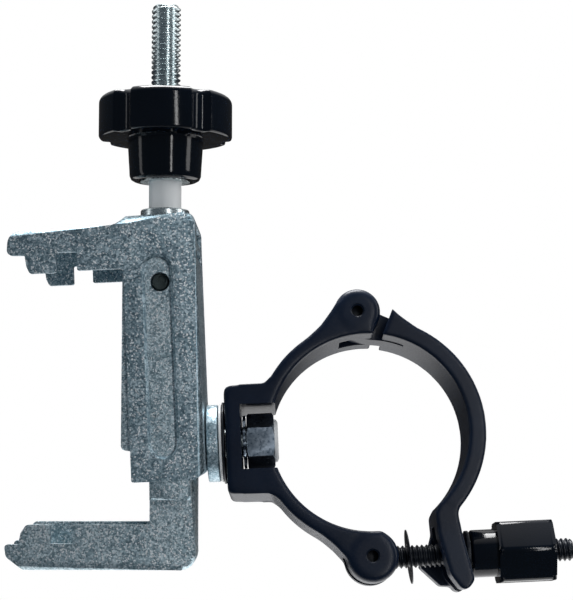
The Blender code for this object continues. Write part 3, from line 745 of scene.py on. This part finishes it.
def ring_gate():
    centre = (RING_X - HINGE_X, -HINGE_Z)
    band = moved([(7.9, 32.5), (9.5, 30.8), (12.3, 28.5)], *centre)
    band += arc(centre, GATE_R, 62, -44, 50) + arc(centre, RING_R - 1.5, -48, 80, 40)
    neck = [(-0.5, -5.9), (5.0, -7.0), (12.0, -9.6), (12.6, -5.4), (9.6, -1.4), (6.0, 0.4), (0.5, 2.0)]
    fork = rounded(
        [
            (70.6, -17.0, 0),
            (76.0, -17.2, 0),
            (74.4, -20.3, 0),
            (73.7, -22.6, 0),
            (74.3, -27.0, 0),
            (76.8, -39.6, 1.6),
            (74.0, -43.0, 1.8),
            (70.6, -38.0, 1.0),
            (68.0, -27.0, 2.0),
            (67.8, -21.8, 2.2),
        ]
    )
    gusset = [(68.4, -25.0), (66.4, -31.2), (63.9, -34.8), (69.2, -40.1), (72.6, -40.4), (72.0, -30.0)]
    block = join(
        prism(band, -RING_HALF, RING_HALF),
        prism(moved(fork, -HINGE_X, -HINGE_Z), 0.05 - RING_HALF, RING_HALF - 0.05),
        prism(moved(gusset, -HINGE_X, -HINGE_Z), BOLT_R + 1.2, RING_HALF - 0.6),
    )
    inside = shaft(RING_R, -20, 20, "Y", at=(centre[0], 0, centre[1]), steps=160)
    body = cast(cut(block, inside), rounds=10)
    knuckle = shaft(HINGE_R - 0.3, -TONGUE_HALF, TONGUE_HALF, "Y", fold=0.3)
    neck_half = TONGUE_HALF - 0.04
    body = join(body, prism(neck, -neck_half, neck_half), knuckle)
    slot = moved([(60.0, -24.5), (90.0, -26.0), (90.0, -60.0), (60.0, -60.0)], -HINGE_X, -HINGE_Z)
    swept = [(FORK_FACE_R, FORK_FACE_HALF), (45.0, FORK_FACE_HALF)]
    swept += [(45.0, -FORK_FACE_HALF), (FORK_FACE_R, -FORK_FACE_HALF)]
    seat = turned(swept, "Y", 160, (EYE_X - HINGE_X, 0, EYE_Z - HINGE_Z))
    limit = box(60.0 - HINGE_X, 100.0 - HINGE_X, -7.5, 7.5, -80 - HINGE_Z, -24.6 - HINGE_Z)
    body = cut(
        body,
        tongue_clearance(centre),
        prism(slot, -BOLT_R - 0.6, BOLT_R + 0.6),
        within(seat, limit),
        shaft(2.6, -20, 20, "Y", steps=32),
    )
    piece("ring_latch_half", body, HINGE, "gate", ["ring_gate"], "ring_black", 38)


def tongue_clearance(centre):
    """The round inside of the ring, which the gate's tongue must leave free."""
    half = TONGUE_HALF + 1
    return shaft(RING_R - 0.25, -half, half, "Y", at=(centre[0], 0, centre[1]), steps=160)


# Eye bolt and hand nut
def eye_bolt_pieces():
    rod = threaded(BOLT_R, 0.52, BOLT_LEAD, 4.0, BOLT_END - EYE_X, 0.7, 36)
    rod.transform(Matrix.Rotation(math.pi / 2, 4, "Y"))
    eye = shaft(EYE_R - 0.4, -3.2, 3.2, "Y", fold=0.7)
    body = cut(join(rod, eye), shaft(2.6, -10, 10, "Y", steps=32))
    piece("swing_bolt", body, EYE, "eye_bolt", ["eye_bolt"], "black_steel", 50)
    disc = shaft(7.1, -0.15, 0.15, "X", hole=BOLT_R + 0.3, fold=0.1)
    disc.transform(Matrix.Translation((10.0, 0, 0)) @ Matrix.Rotation(math.radians(-4.0), 4, "Y"))
    piece("keeper_disc", disc, EYE, "eye_bolt", ["retaining_disc"], "black_steel")


def hand_nut():
    first, step, last = NUT_START - EYE_X, NUT_STEP - EYE_X, NUT_END - EYE_X
    washer = shaft(6.1, first - 1.35, first - 0.3, "X", hole=BOLT_R + 0.2, fold=0.25)
    piece("nut_shim", washer, EYE, "nut_carrier", ["nut_washer"], "black_steel")
    lobes = rounded([(y, z, 2.0) for y, z in hexagon(15.6)])
    head = prism(lobes, step - 0.4, last, "X", fold=1.5, steps=4)
    hub = shaft(6.2, first, step + 1.0, "X", fold=0.7)
    narrow, insert_r, insert_end = BOLT_R + 0.6, 4.6, 45.3
    bore = [(0, 80.0), (narrow, 80.0), (narrow, insert_end)]
    bore += [(insert_r, insert_end), (insert_r, 10.0), (0, 10.0)]
    body = cut(join(head, hub), turned(bore, "X"))
    piece("hand_nut_grip", edged(body, 0.25, 2), EYE, "hand_nut", ["hand_nut"], "phenolic", 28)


upper_bracket()
lower_bracket()
star_knob()
screw_pieces()
swivel_pieces()
ring_fixed_half()
ring_gate()
eye_bolt_pieces()
hand_nut()

NODE_FINISH = {
    "knob_insert": "bright",
    "thrust_washer": "bright",
    "retaining_clip": "bright",
    "traveller_nut": "nut",
    "hand_nut_insert": "bright",
    "swivel_bolt": "bright",
}
for node_name, finish in NODE_FINISH.items():
    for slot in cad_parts[node_name].material_slots:
        slot.material = MATERIALS[finish]


# Stage, light and camera
def camera():
    """A 90 mm lens, about 400 mm in front of the bracket, level with its lower part, looking slightly up."""
    data = bpy.data.cameras.new("camera")
    data.lens = 90.0
    data.sensor_width = 36.0
    data.clip_start = 0.01
    made = bpy.data.objects.new("camera", data)
    bpy.context.scene.collection.objects.link(made)
    made.location = (ORIGIN + Vector((28.623, -404.5, -23.682))) * MM
    made.rotation_euler = [math.radians(angle) for angle in (94.828, 2.6, -0.248)]
    bpy.context.scene.camera = made


def softbox(name, at, aim, width, height, power):
    """A soft rectangular lamp, placed and aimed in metres."""
    data = bpy.data.lights.new(name, "AREA")
    data.shape = "RECTANGLE"
    data.size, data.size_y = width, height
    data.energy = power
    made = bpy.data.objects.new(name, data)
    bpy.context.scene.collection.objects.link(made)
    made.location = at
    made.rotation_euler = (Vector(aim) - Vector(at)).to_track_quat("-Z", "Y").to_euler()


def studio():
    """Dim surroundings, darkest behind, with a bright sky overhead. The camera itself sees white."""
    world = bpy.data.worlds.new("world")
    bpy.context.scene.world = world
    world.use_nodes = True
    tree = world.node_tree
    tree.nodes.clear()
    direction = add(tree, "TexCoord").outputs["Generated"]
    parts = add(tree, "SeparateXYZ", [(0, direction)])
    height = maths(tree, "MULTIPLY_ADD", parts.outputs[1], 0.3)
    tree.links.new(parts.outputs[2], height.node.inputs[2])
    overhead = ramp(tree, height, [(0.55, 0.0), (0.95, 1.0)])
    sides = ramp(tree, parts.outputs[1], [(0.0, (0.10, 0.118, 0.135)), (0.9, 0.04)])
    around = blend(tree, overhead, sides, (1.15, 1.15, 1.15))
    seen = add(tree, "LightPath").outputs["Is Camera Ray"]
    colour = blend(tree, seen, around, (1.0, 1.0, 1.0))
    light = add(tree, "Background", [("Color", colour), ("Strength", 1.0)])
    out = tree.nodes.new("ShaderNodeOutputWorld")
    tree.links.new(light.outputs[0], out.inputs[0])
    softbox("above", (0.05, 0.10, 0.5), (0.04, 0.03, 0.0), 0.3, 0.3, 6.0)
    softbox("right", (0.6, -0.10, 0.15), (0.05, 0.0, 0.0), 0.15, 0.5, 0.9)
    softbox("left", (-0.5, -0.1, 0.1), (0.0, 0.0, 0.0), 0.10, 0.6, 0.35)
    softbox("strip", (0.29, -0.62, 0.05), (0.03, 0.0, 0.03), 0.045, 0.6, 1.1)
    bpy.context.scene.view_settings.view_transform = "Standard"


def floor():
    """A pale floor well below and behind, which the blacks don't mirror."""
    made, tree, shader = new_tree("floor")
    mottle = noise(tree, millimetres(tree), 0.02, 3.0)
    colour = ramp(tree, mottle, [(0.3, 0.88), (0.7, 0.92)])
    link(tree, shader, Base_Color=colour, Roughness=0.9)
    shader.inputs["Emission Color"].default_value = (1.0, 1.0, 1.0, 1.0)
    shader.inputs["Emission Strength"].default_value = 0.5
    bpy.ops.mesh.primitive_plane_add(size=1.0, location=(0.05, 0.45, CAD_BOX[0].z - 0.25))
    plane = bpy.context.object
    plane.name = "floor"
    plane.data.materials.append(made)


camera()
studio()
floor()
